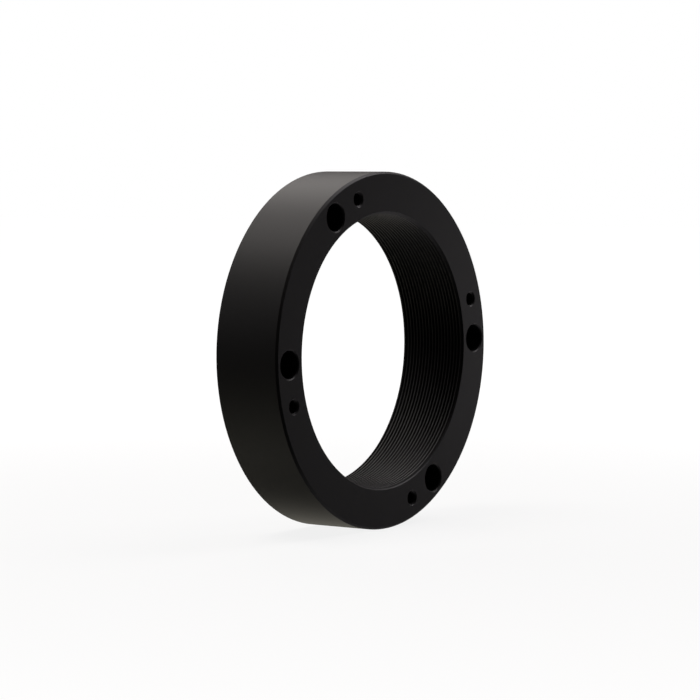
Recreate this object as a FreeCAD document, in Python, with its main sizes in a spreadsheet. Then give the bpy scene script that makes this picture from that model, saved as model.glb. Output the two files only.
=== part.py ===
import FreeCAD, Part
import Sketcher
import math
import os

# Adapter ring for a telescope: one turned, drilled and tapped ring of aluminium.
#
# The ring's axis lies along Y and +Z is up.  The origin is the centre of the back face.
# The front face looks along -Y: it has the four counterbores for the pull screws and the
# four tapped holes for the push screws, all on one bolt circle.

# Driving dimensions, in millimetres and degrees.  Angles run from +X towards +Z.
DIMENSIONS = {
    "outer_diameter": 92.5,
    "ring_thickness": 19.5,
    "rim_chamfer": 0.55,
    "bore_thread_major": 72.0,
    "bore_thread_pitch": 1.0,
    "bore_mouth_diameter": 72.1,
    "bolt_circle": 82.0,
    "pattern_angle": -28.0,
    "pull_spread": 60.0,
    "push_spread": 90.0,
    "head_bore": 7.2,
    "head_depth": 10.0,
    "shank_bore": 4.5,
    "edge_break": 0.3,
    "push_mouth_diameter": 4.2,
}
# The push screws' thread, as the Hole feature names it.
PUSH_THREAD = "M4x0.7"

# A 60 degree metric thread: its depth and the half widths of its groove at the minor and
# the major diameter, as multiples of the pitch.
THREAD_DEPTH = 0.541266
GROOVE_HALF_AT_MINOR = 0.375
GROOVE_HALF_AT_MAJOR = 0.0625
FLANK_SLOPE = math.tan(math.radians(30))
# The centroid of the groove's section, as a share of its depth in from the major diameter.
GROOVE_CENTROID = 0.62
# The cutter starts this far inside the bore, in pitches, so that it cuts cleanly.
CUTTER_CLEARANCE = 0.15
# The cutter starts and ends this far past the two faces, in pitches.
CUTTER_OVERRUN = 0.5

VOLUME_TOLERANCE = 0.05

doc = FreeCAD.newDocument("adapter_ring")


def make_sheet():
    """The spreadsheet that holds the driving dimensions under their names."""
    sheet = doc.addObject("Spreadsheet::Sheet", "dimensions")
    for row, (name, value) in enumerate(DIMENSIONS.items(), start=1):
        sheet.set(f"A{row}", name)
        sheet.set(f"B{row}", str(value))
        sheet.setAlias(f"B{row}", name)
    doc.recompute()


def origin_item(body, role):
    """One of the body's own origin planes or axes."""
    return next(item for item in body.Origin.OriginFeatures if item.Role == role)


def add_sketch(body, name, plane, offset=None):
    """A sketch on an origin plane, moved along the plane's normal by an expression."""
    sketch = body.newObject("Sketcher::SketchObject", name)
    sketch.AttachmentSupport = [(origin_item(body, plane), "")]
    sketch.MapMode = "FlatFace"
    if offset:
        sketch.setExpression("AttachmentOffset.Base.z", offset)
    return sketch


def pin_point(sketch, geometry, point, across, up):
    """Hold a point of the sketch at two expressions; "0" puts it on the axis itself."""
    for kind, value, axis in (("DistanceX", across, -2), ("DistanceY", up, -1)):
        if value == "0":
            rule = Sketcher.Constraint("PointOnObject", geometry, point, axis)
            sketch.addConstraint(rule)
        else:
            rule = Sketcher.Constraint(kind, -1, 1, geometry, point, 1.0)
            number = sketch.addConstraint(rule)
            sketch.setExpression(f"Constraints[{number}]", value)


def draw_polygon(sketch, corners):
    """A closed outline through corners, each a pair of expressions."""
    count = len(corners)
    # The first guess at each corner lies on a circle, so that no line has zero length.
    turns = [2 * math.pi * k / count for k in range(count)]
    guess = [FreeCAD.Vector(math.cos(a), math.sin(a), 0) for a in turns]
    for k in range(count):
        line = Part.LineSegment(guess[k], guess[(k + 1) % count])
        sketch.addGeometry(line, False)
    for k in range(count):
        joined = Sketcher.Constraint("Coincident", k, 2, (k + 1) % count, 1)
        sketch.addConstraint(joined)
    for k, (across, up) in enumerate(corners):
        pin_point(sketch, k, 1, across, up)


def draw_circle(sketch, diameter, angle):
    """A circle on the bolt circle, at an angle from +X; both are expressions."""
    start = FreeCAD.Vector(1, 1, 0)
    sketch.addGeometry(Part.Circle(start, FreeCAD.Vector(0, 0, 1), 1.0), False)
    circle = sketch.GeometryCount - 1
    radius = "dimensions.bolt_circle / 2"
    across = f"{radius} * cos(1deg * ({angle}))"
    up = f"{radius} * sin(1deg * ({angle}))"
    pin_point(sketch, circle, 3, across, up)
    number = sketch.addConstraint(Sketcher.Constraint("Radius", circle, 1.0))
    sketch.setExpression(f"Constraints[{number}]", f"({diameter}) / 2")


def require_cut(body, before, expected, what):
    """Stop unless the last feature took away about the expected volume."""
    doc.recompute()
    taken = before - body.Shape.Volume
    if abs(taken - expected) > VOLUME_TOLERANCE * expected:
        raise RuntimeError(f"{what} took away {taken:.1f} mm3, not {expected:.1f}")
    print(f"{what}: {taken:.1f} mm3 of {expected:.1f} expected")


def repeat_around(body, feature, name, count):
    """The same feature at equal steps around the ring's axis."""
    pattern = body.newObject("PartDesign::PolarPattern", name)
    pattern.Originals = [feature]
    pattern.Axis = (origin_item(body, "Y_Axis"), [""])
    pattern.Angle = 360
    pattern.Occurrences = count
    body.Tip = pattern
    return pattern


def turn_ring(body):
    """The plain ring, turned from its section, with its rim and mouth chamfers."""
    back = "0"
    front = "-dimensions.ring_thickness"
    rim = "dimensions.outer_diameter / 2"
    chamfer = "dimensions.rim_chamfer"
    mouth = "dimensions.bore_mouth_diameter / 2"
    minor = (
        "(dimensions.bore_thread_major / 2"
        f" - {THREAD_DEPTH} * dimensions.bore_thread_pitch)"
    )
    mouth_depth = f"({mouth} - {minor})"
    section = add_sketch(body, "ring_section", "YZ_Plane")
    draw_polygon(section, [
        (back, mouth),
        (back, f"{rim} - {chamfer}"),
        (f"-{chamfer}", rim),
        (f"{front} + {chamfer}", rim),
        (front, f"{rim} - {chamfer}"),
        (front, mouth),
        (f"{front} + {mouth_depth}", minor),
        (f"-{mouth_depth}", minor),
    ])
    doc.recompute()
    ring = body.newObject("PartDesign::Revolution", "turned_ring")
    ring.Profile = section
    ring.ReferenceAxis = (section, ["H_Axis"])
    ring.Angle = 360
    doc.recompute()


def cut_bore_thread(body):
    """The right-hand thread through the whole bore, cut along a real helix."""
    pitch = "dimensions.bore_thread_pitch"
    major = "dimensions.bore_thread_major / 2"
    inside = f"{major} - {THREAD_DEPTH + CUTTER_CLEARANCE} * {pitch}"
    centre = f"{CUTTER_OVERRUN} * {pitch}"
    wide = GROOVE_HALF_AT_MINOR + CUTTER_CLEARANCE * FLANK_SLOPE
    narrow = GROOVE_HALF_AT_MAJOR
    groove = add_sketch(body, "bore_groove", "YZ_Plane")
    draw_polygon(groove, [
        (f"{centre} - {wide} * {pitch}", inside),
        (f"{centre} + {wide} * {pitch}", inside),
        (f"{centre} + {narrow} * {pitch}", major),
        (f"{centre} - {narrow} * {pitch}", major),
    ])
    doc.recompute()
    before = body.Shape.Volume
    thread = body.newObject("PartDesign::SubtractiveHelix", "bore_thread")
    thread.Profile = groove
    thread.ReferenceAxis = (groove, ["H_Axis"])
    thread.Mode = "pitch-height-angle"
    thread.setExpression("Pitch", pitch)
    run = f"dimensions.ring_thickness + {2 * CUTTER_OVERRUN} * {pitch}"
    thread.setExpression("Height", run)
    thread.Reversed = True
    thread.LeftHanded = False

    size = DIMENSIONS["bore_thread_pitch"]
    depth = THREAD_DEPTH * size
    groove_area = (GROOVE_HALF_AT_MINOR + GROOVE_HALF_AT_MAJOR) * size * depth
    major_radius = DIMENSIONS["bore_thread_major"] / 2
    middle_radius = major_radius - GROOVE_CENTROID * depth
    # Each mouth chamfer has already taken about half the groove over its own depth.
    mouth_depth = DIMENSIONS["bore_mouth_diameter"] / 2 - (major_radius - depth)
    turns = (DIMENSIONS["ring_thickness"] - mouth_depth) / size
    expected = groove_area * 2 * math.pi * middle_radius * turns
    require_cut(body, before, expected, "bore thread")


def bore_pull_holes(body):
    """Four counterbored clearance holes, in two pairs astride the pattern's axis."""
    places = add_sketch(body, "pull_places", "XZ_Plane", "dimensions.ring_thickness")
    half = "dimensions.pull_spread / 2"
    for side in ("+", "-"):
        angle = f"dimensions.pattern_angle {side} {half}"
        draw_circle(places, "dimensions.head_bore", angle)
    doc.recompute()
    before = body.Shape.Volume
    hole = body.newObject("PartDesign::Hole", "pull_pair")
    hole.Profile = places
    doc.recompute()
    hole.Threaded = False
    hole.DepthType = "ThroughAll"
    hole.HoleCutType = "Counterbore"
    hole.HoleCutCustomValues = True
    hole.setExpression("Diameter", "dimensions.shank_bore")
    hole.setExpression("HoleCutDiameter", "dimensions.head_bore")
    hole.setExpression("HoleCutDepth", "dimensions.head_depth")
    doc.recompute()
    repeat_around(body, hole, "pull_holes", 2)

    head_area = math.pi / 4 * DIMENSIONS["head_bore"] ** 2
    shank_area = math.pi / 4 * DIMENSIONS["shank_bore"] ** 2
    head = DIMENSIONS["head_depth"]
    shank = DIMENSIONS["ring_thickness"] - head
    expected = 4 * (head_area * head + shank_area * shank)
    require_cut(body, before, expected, "pull holes")


def round_edges_at(shape, radius, level):
    """Names of the circular edges of this radius that lie in the plane y = level."""
    names = []
    for number, edge in enumerate(shape.Edges, start=1):
        if not isinstance(edge.Curve, Part.Circle):
            continue
        same_radius = abs(edge.Curve.Radius - radius) < 1e-4
        same_level = abs(edge.Curve.Center.y - level) < 1e-4
        if same_radius and same_level:
            names.append(f"Edge{number}")
    return names


def break_pull_edges(body):
    """A small chamfer where each pull hole meets the front and the back face."""
    holes = body.Tip
    before = body.Shape.Volume
    front = -DIMENSIONS["ring_thickness"]
    edges = round_edges_at(holes.Shape, DIMENSIONS["head_bore"] / 2, front)
    edges += round_edges_at(holes.Shape, DIMENSIONS["shank_bore"] / 2, 0)
    if len(edges) != 8:
        raise RuntimeError(f"found {len(edges)} hole edges to break, not 8")
    chamfer = body.newObject("PartDesign::Chamfer", "pull_edge_breaks")
    chamfer.Base = (holes, edges)
    chamfer.setExpression("Size", "dimensions.edge_break")
    body.Tip = chamfer

    leg = DIMENSIONS["edge_break"]
    outline = math.pi * (DIMENSIONS["head_bore"] + DIMENSIONS["shank_bore"])
    expected = 4 * outline * leg ** 2 / 2
    require_cut(body, before, expected, "edge breaks")


def tap_push_holes(body):
    """Four tapped through holes, 90 degrees apart, each beside a pull hole."""
    places = add_sketch(body, "push_place", "XZ_Plane", "dimensions.ring_thickness")
    angle = "dimensions.pattern_angle + dimensions.push_spread / 2"
    draw_circle(places, "dimensions.push_mouth_diameter", angle)
    doc.recompute()
    before = body.Shape.Volume
    hole = body.newObject("PartDesign::Hole", "push_hole")
    hole.Profile = places
    doc.recompute()
    hole.ThreadType = "ISOMetricProfile"
    hole.ThreadSize = PUSH_THREAD
    hole.Threaded = True
    hole.DepthType = "ThroughAll"
    hole.HoleCutType = "Countersink"
    hole.HoleCutCustomValues = True
    hole.setExpression("HoleCutDiameter", "dimensions.push_mouth_diameter")
    hole.HoleCutCountersinkAngle = 90
    hole.ModelThread = True
    hole.ThreadDepthType = "Hole Depth"
    doc.recompute()
    repeat_around(body, hole, "push_holes", 4)

    # A tapped hole takes about as much as a plain one at the mean of its diameters.
    drill = hole.Diameter.Value
    mean = (drill + hole.ThreadDiameter.Value) / 2
    plain = math.pi / 4 * mean ** 2 * DIMENSIONS["ring_thickness"]
    require_cut(body, before, 4 * plain, "push holes")


def check_document(bodies):
    """Stop if any object failed or any sub-part's shape isn't one valid solid."""
    for item in doc.Objects:
        failed = [word for word in item.State if word in ("Invalid", "Error")]
        if failed:
            raise RuntimeError(f"{item.Name} is {failed}")
    for body in bodies:
        shape = body.Shape
        if shape.isNull() or not shape.isValid() or len(shape.Solids) != 1:
            raise RuntimeError(f"{body.Label} isn't one valid solid")
        print(f"{body.Label}: {shape.Volume:.1f} mm3, box {shape.BoundBox}")


def make_adapter_ring():
    """The ring itself: the only piece."""
    body = doc.addObject("PartDesign::Body", "adapter_ring")
    body.Label = "adapter_ring"
    doc.recompute()
    turn_ring(body)
    cut_bore_thread(body)
    bore_pull_holes(body)
    break_pull_edges(body)
    tap_push_holes(body)
    return body


make_sheet()
pieces = [make_adapter_ring()]
doc.recompute()
check_document(pieces)

os.makedirs("parts", exist_ok=True)
for piece in pieces:
    piece.Shape.exportStep(f"parts/{piece.Label}.step")
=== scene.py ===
import bpy
import math
from mathutils import Matrix, Vector


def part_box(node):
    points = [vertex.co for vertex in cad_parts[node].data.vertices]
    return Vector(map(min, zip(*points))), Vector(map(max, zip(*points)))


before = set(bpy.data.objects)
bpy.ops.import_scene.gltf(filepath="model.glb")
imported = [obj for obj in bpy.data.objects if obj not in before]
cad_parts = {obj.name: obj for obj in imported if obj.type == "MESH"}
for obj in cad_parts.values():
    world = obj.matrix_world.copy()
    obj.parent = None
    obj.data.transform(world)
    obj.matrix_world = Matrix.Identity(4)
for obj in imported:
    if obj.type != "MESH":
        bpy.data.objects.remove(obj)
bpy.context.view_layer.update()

# The looks of a black threaded adapter ring: its anodised finish, a pale floor, the
# studio lights and the camera.  Lengths are in metres and angles in degrees.

low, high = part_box("adapter_ring")
outer_radius = (high.x - low.x) / 2
front_y = low.y
middle = (low + high) / 2

# The camera's place, in the ring's outer radii from the centre of the front face: its
# distance, then its shift across the view and up it.  The lens is in millimetres.
CAMERA_AZIMUTH = -53.9
CAMERA_ELEVATION = 3.6
CAMERA_DISTANCE = 17.02
CAMERA_SIDE = -0.2
CAMERA_RISE = 0.005
CAMERA_LENS = 156.7
CAMERA_CLIP_START = 0.01

# The finish.  The noise scales are per metre.
DARK_ANODISING = (0.0030, 0.0028, 0.0028, 1)
PALE_ANODISING = (0.0045, 0.0042, 0.0042, 1)
CLOUD_SCALE = 55.0
CLOUD_FROM = 0.3
CLOUD_TO = 0.7
GRAIN_SCALE = 9000.0
GRAIN_STRENGTH = 0.12
MARK_SCALE = 5200.0
MARK_STRENGTH = 0.10
RELIEF = 0.00002
ROUGHNESS_FROM = 0.45
ROUGHNESS_TO = 0.55

# The floor glows faintly grey near the ring and white further out.
FLOOR_SIZE = 6.0
FLOOR_NEAR = 0.86
FLOOR_NEAR_RADIUS = 0.05
FLOOR_WHITE_RADIUS = 0.6
FLOOR_SHADOW_TAKER = (0.12, 0.12, 0.12, 1)

WHITE = (1, 1, 1, 1)
STUDIO_AMBIENT = 0.02
STUDIO_COLOUR = (1.05, 1.0, 1.04, 1)
FROM_ABOVE = (1.055, 1.0, 0.965)
FROM_BELOW = (1.05, 1.0, 0.85)
FROM_SIDE = (1.06, 1.0, 1.03)


class Nodes:
    """A short way to add and join shader nodes in one tree."""

    def __init__(self, tree):
        self.tree = tree
        self.tree.nodes.clear()

    def add(self, kind, inputs=None, **settings):
        node = self.tree.nodes.new(kind)
        for name, value in settings.items():
            setattr(node, name, value)
        for name, value in (inputs or {}).items():
            if isinstance(value, bpy.types.NodeSocket):
                self.tree.links.new(value, node.inputs[name])
            else:
                node.inputs[name].default_value = value
        return node


def material(name):
    made = bpy.data.materials.new(name)
    made.use_nodes = True
    return made, Nodes(made.node_tree)


# ---- black anodised aluminium ----------------------------------------------------------

def distance_from_axis(nodes, split):
    """The distance from the ring's axis, which is the Y axis."""
    squares = [
        nodes.add("ShaderNodeMath", {0: split.outputs[axis], 1: split.outputs[axis]},
                  operation="MULTIPLY")
        for axis in ("X", "Z")
    ]
    total = nodes.add("ShaderNodeMath", {
        0: squares[0].outputs[0], 1: squares[1].outputs[0]}, operation="ADD")
    return nodes.add("ShaderNodeMath", {0: total.outputs[0]}, operation="SQRT").outputs[0]


def turning_marks(nodes, place):
    """Rings about the axis, on the faces, on the rim and in the bore."""
    split = nodes.add("ShaderNodeSeparateXYZ", {"Vector": place})
    along = nodes.add("ShaderNodeCombineXYZ", {
        "X": distance_from_axis(nodes, split), "Y": split.outputs["Y"]})
    return nodes.add("ShaderNodeTexNoise", {
        "Vector": along.outputs[0], "Scale": MARK_SCALE, "Detail": 2.0,
        "Roughness": 0.55}).outputs["Fac"]


def anodised_black():
    """Satin black, slightly clouded, with a fine grain over turning marks."""
    made, nodes = material("black_anodised")
    place = nodes.add("ShaderNodeTexCoord").outputs["Object"]
    grain = nodes.add("ShaderNodeTexNoise", {
        "Vector": place, "Scale": GRAIN_SCALE, "Detail": 2.0, "Roughness": 0.6})
    cloud = nodes.add("ShaderNodeTexNoise", {
        "Vector": place, "Scale": CLOUD_SCALE, "Detail": 3.0, "Roughness": 0.5})
    shade = nodes.add("ShaderNodeValToRGB", {"Fac": cloud.outputs["Fac"]})
    dark, pale = shade.color_ramp.elements
    dark.position = CLOUD_FROM
    dark.color = DARK_ANODISING
    pale.position = CLOUD_TO
    pale.color = PALE_ANODISING
    satin = nodes.add("ShaderNodeMapRange", {
        "Value": grain.outputs["Fac"], "To Min": ROUGHNESS_FROM, "To Max": ROUGHNESS_TO})
    turned = nodes.add("ShaderNodeBump", {
        "Height": turning_marks(nodes, place), "Strength": MARK_STRENGTH,
        "Distance": RELIEF})
    blasted = nodes.add("ShaderNodeBump", {
        "Height": grain.outputs["Fac"], "Normal": turned.outputs["Normal"],
        "Strength": GRAIN_STRENGTH, "Distance": RELIEF})
    surface = nodes.add("ShaderNodeBsdfPrincipled", {
        "Base Color": shade.outputs["Color"], "Roughness": satin.outputs["Result"],
        "Normal": blasted.outputs["Normal"], "IOR": 1.5})
    nodes.add("ShaderNodeOutputMaterial", {"Surface": surface.outputs[0]})
    return made


ring = bpy.data.objects["adapter_ring"]
for slot in ring.material_slots:
    slot.material = anodised_black()


# ---- floor and backdrop ----------------------------------------------------------------

def pale_floor():
    """Its glow makes it pale, and its matt part takes the ring's soft shadow."""
    made, nodes = material("pale_floor")
    place = nodes.add("ShaderNodeTexCoord").outputs["Object"]
    away = nodes.add("ShaderNodeVectorMath", {0: place}, operation="LENGTH")
    lift = nodes.add("ShaderNodeMapRange", {
        "Value": away.outputs["Value"],
        "From Min": FLOOR_NEAR_RADIUS, "From Max": FLOOR_WHITE_RADIUS,
        "To Min": FLOOR_NEAR, "To Max": 1.0}, interpolation_type="SMOOTHSTEP")
    glow = nodes.add("ShaderNodeEmission", {
        "Color": WHITE, "Strength": lift.outputs["Result"]})
    matt = nodes.add("ShaderNodeBsdfDiffuse", {"Color": FLOOR_SHADOW_TAKER})
    both = nodes.add("ShaderNodeAddShader", {0: glow.outputs[0], 1: matt.outputs[0]})
    nodes.add("ShaderNodeOutputMaterial", {"Surface": both.outputs[0]})
    return made


bpy.ops.mesh.primitive_plane_add(size=FLOOR_SIZE, location=(middle.x, middle.y, low.z))
floor = bpy.context.object
floor.name = "floor"
floor.data.materials.append(pale_floor())
# The ring reflects the studio, not the floor.
floor.visible_diffuse = False
floor.visible_glossy = False
floor.visible_shadow = False


def studio_world():
    """White to the camera and nearly dark in reflections."""
    world = bpy.data.worlds.new("studio")
    world.use_nodes = True
    bpy.context.scene.world = world
    nodes = Nodes(world.node_tree)
    seen = nodes.add("ShaderNodeLightPath").outputs["Is Camera Ray"]
    studio = nodes.add("ShaderNodeBackground", {
        "Color": STUDIO_COLOUR, "Strength": STUDIO_AMBIENT})
    white = nodes.add("ShaderNodeBackground", {"Color": WHITE, "Strength": 1.0})
    mixed = nodes.add("ShaderNodeMixShader", {
        0: seen, 1: studio.outputs[0], 2: white.outputs[0]})
    nodes.add("ShaderNodeOutputWorld", {"Surface": mixed.outputs[0]})


studio_world()


# ---- lights ----------------------------------------------------------------------------

def direction(azimuth, elevation):
    """The unit vector towards an azimuth, from +X towards +Y, and an elevation."""
    turn = math.radians(azimuth)
    rise = math.radians(elevation)
    return Vector((
        math.cos(rise) * math.cos(turn),
        math.cos(rise) * math.sin(turn),
        math.sin(rise),
    ))


def softbox(name, azimuth, elevation, brightness, colour, distance=1.0, size=0.45):
    """A square soft light that looks at the ring's middle from a direction."""
    light = bpy.data.lights.new(name, "AREA")
    light.shape = "SQUARE"
    light.size = size
    # A square light's radiance is its power over pi times its area.
    light.energy = brightness * math.pi * size ** 2
    light.color = colour
    lamp = bpy.data.objects.new(name, light)
    bpy.context.collection.objects.link(lamp)
    way = direction(azimuth, elevation)
    lamp.location = middle + way * distance
    lamp.rotation_euler = way.to_track_quat("Z", "Y").to_euler()
    lamp.visible_camera = False


# Lights at positive azimuths stand behind the front face, and light the rim and the bore.
# The others stand in front, to the right or below, and light the face, the mouth chamfer
# and the thread.  They are placed so that the left rim chamfer stays black.
softbox("high_right", 50, 44, 2.8, FROM_ABOVE)
softbox("high_back", 90, 44, 1.3, FROM_ABOVE)
softbox("top_left", 150, 68, 6.6, FROM_ABOVE)
softbox("back_left", 130, 22, 0.35, FROM_SIDE)
softbox("front_right", -12, 35, 0.45, FROM_SIDE, size=0.5)
softbox("high_front", -20, 57, 4.1, FROM_SIDE)
softbox("beside_right", -12, 0, 0.85, FROM_SIDE, distance=0.3, size=0.15)
softbox("low_front", -20, -35, 1.0, FROM_SIDE)
softbox("under_front", -60, -57, 0.6, FROM_SIDE)
softbox("low_right", 50, -30, 0.9, FROM_BELOW)
softbox("low_back", 90, -30, 1.6, FROM_BELOW)
softbox("low_left", 130, -30, 0.25, FROM_BELOW)


# ---- camera ----------------------------------------------------------------------------

def aim_camera():
    """A camera at the photograph's angle, with the ring's middle off its centre line."""
    turn = math.radians(CAMERA_AZIMUTH)
    rise = math.radians(CAMERA_ELEVATION)
    across = Vector((math.cos(turn), math.sin(turn), 0))
    back = Vector((
        math.sin(turn) * math.cos(rise),
        -math.cos(turn) * math.cos(rise),
        math.sin(rise),
    ))
    up = back.cross(across)
    spot = Vector((0, front_y, 0)) + outer_radius * (
        CAMERA_DISTANCE * back + CAMERA_SIDE * across + CAMERA_RISE * up)
    lens = bpy.data.cameras.new("camera")
    lens.lens = CAMERA_LENS
    lens.clip_start = CAMERA_CLIP_START
    camera = bpy.data.objects.new("camera", lens)
    bpy.context.collection.objects.link(camera)
    axes = Matrix((across, up, back)).transposed().to_4x4()
    camera.matrix_world = Matrix.Translation(spot) @ axes
    bpy.context.scene.camera = camera


aim_camera()
bpy.context.scene.view_settings.view_transform = "Standard"
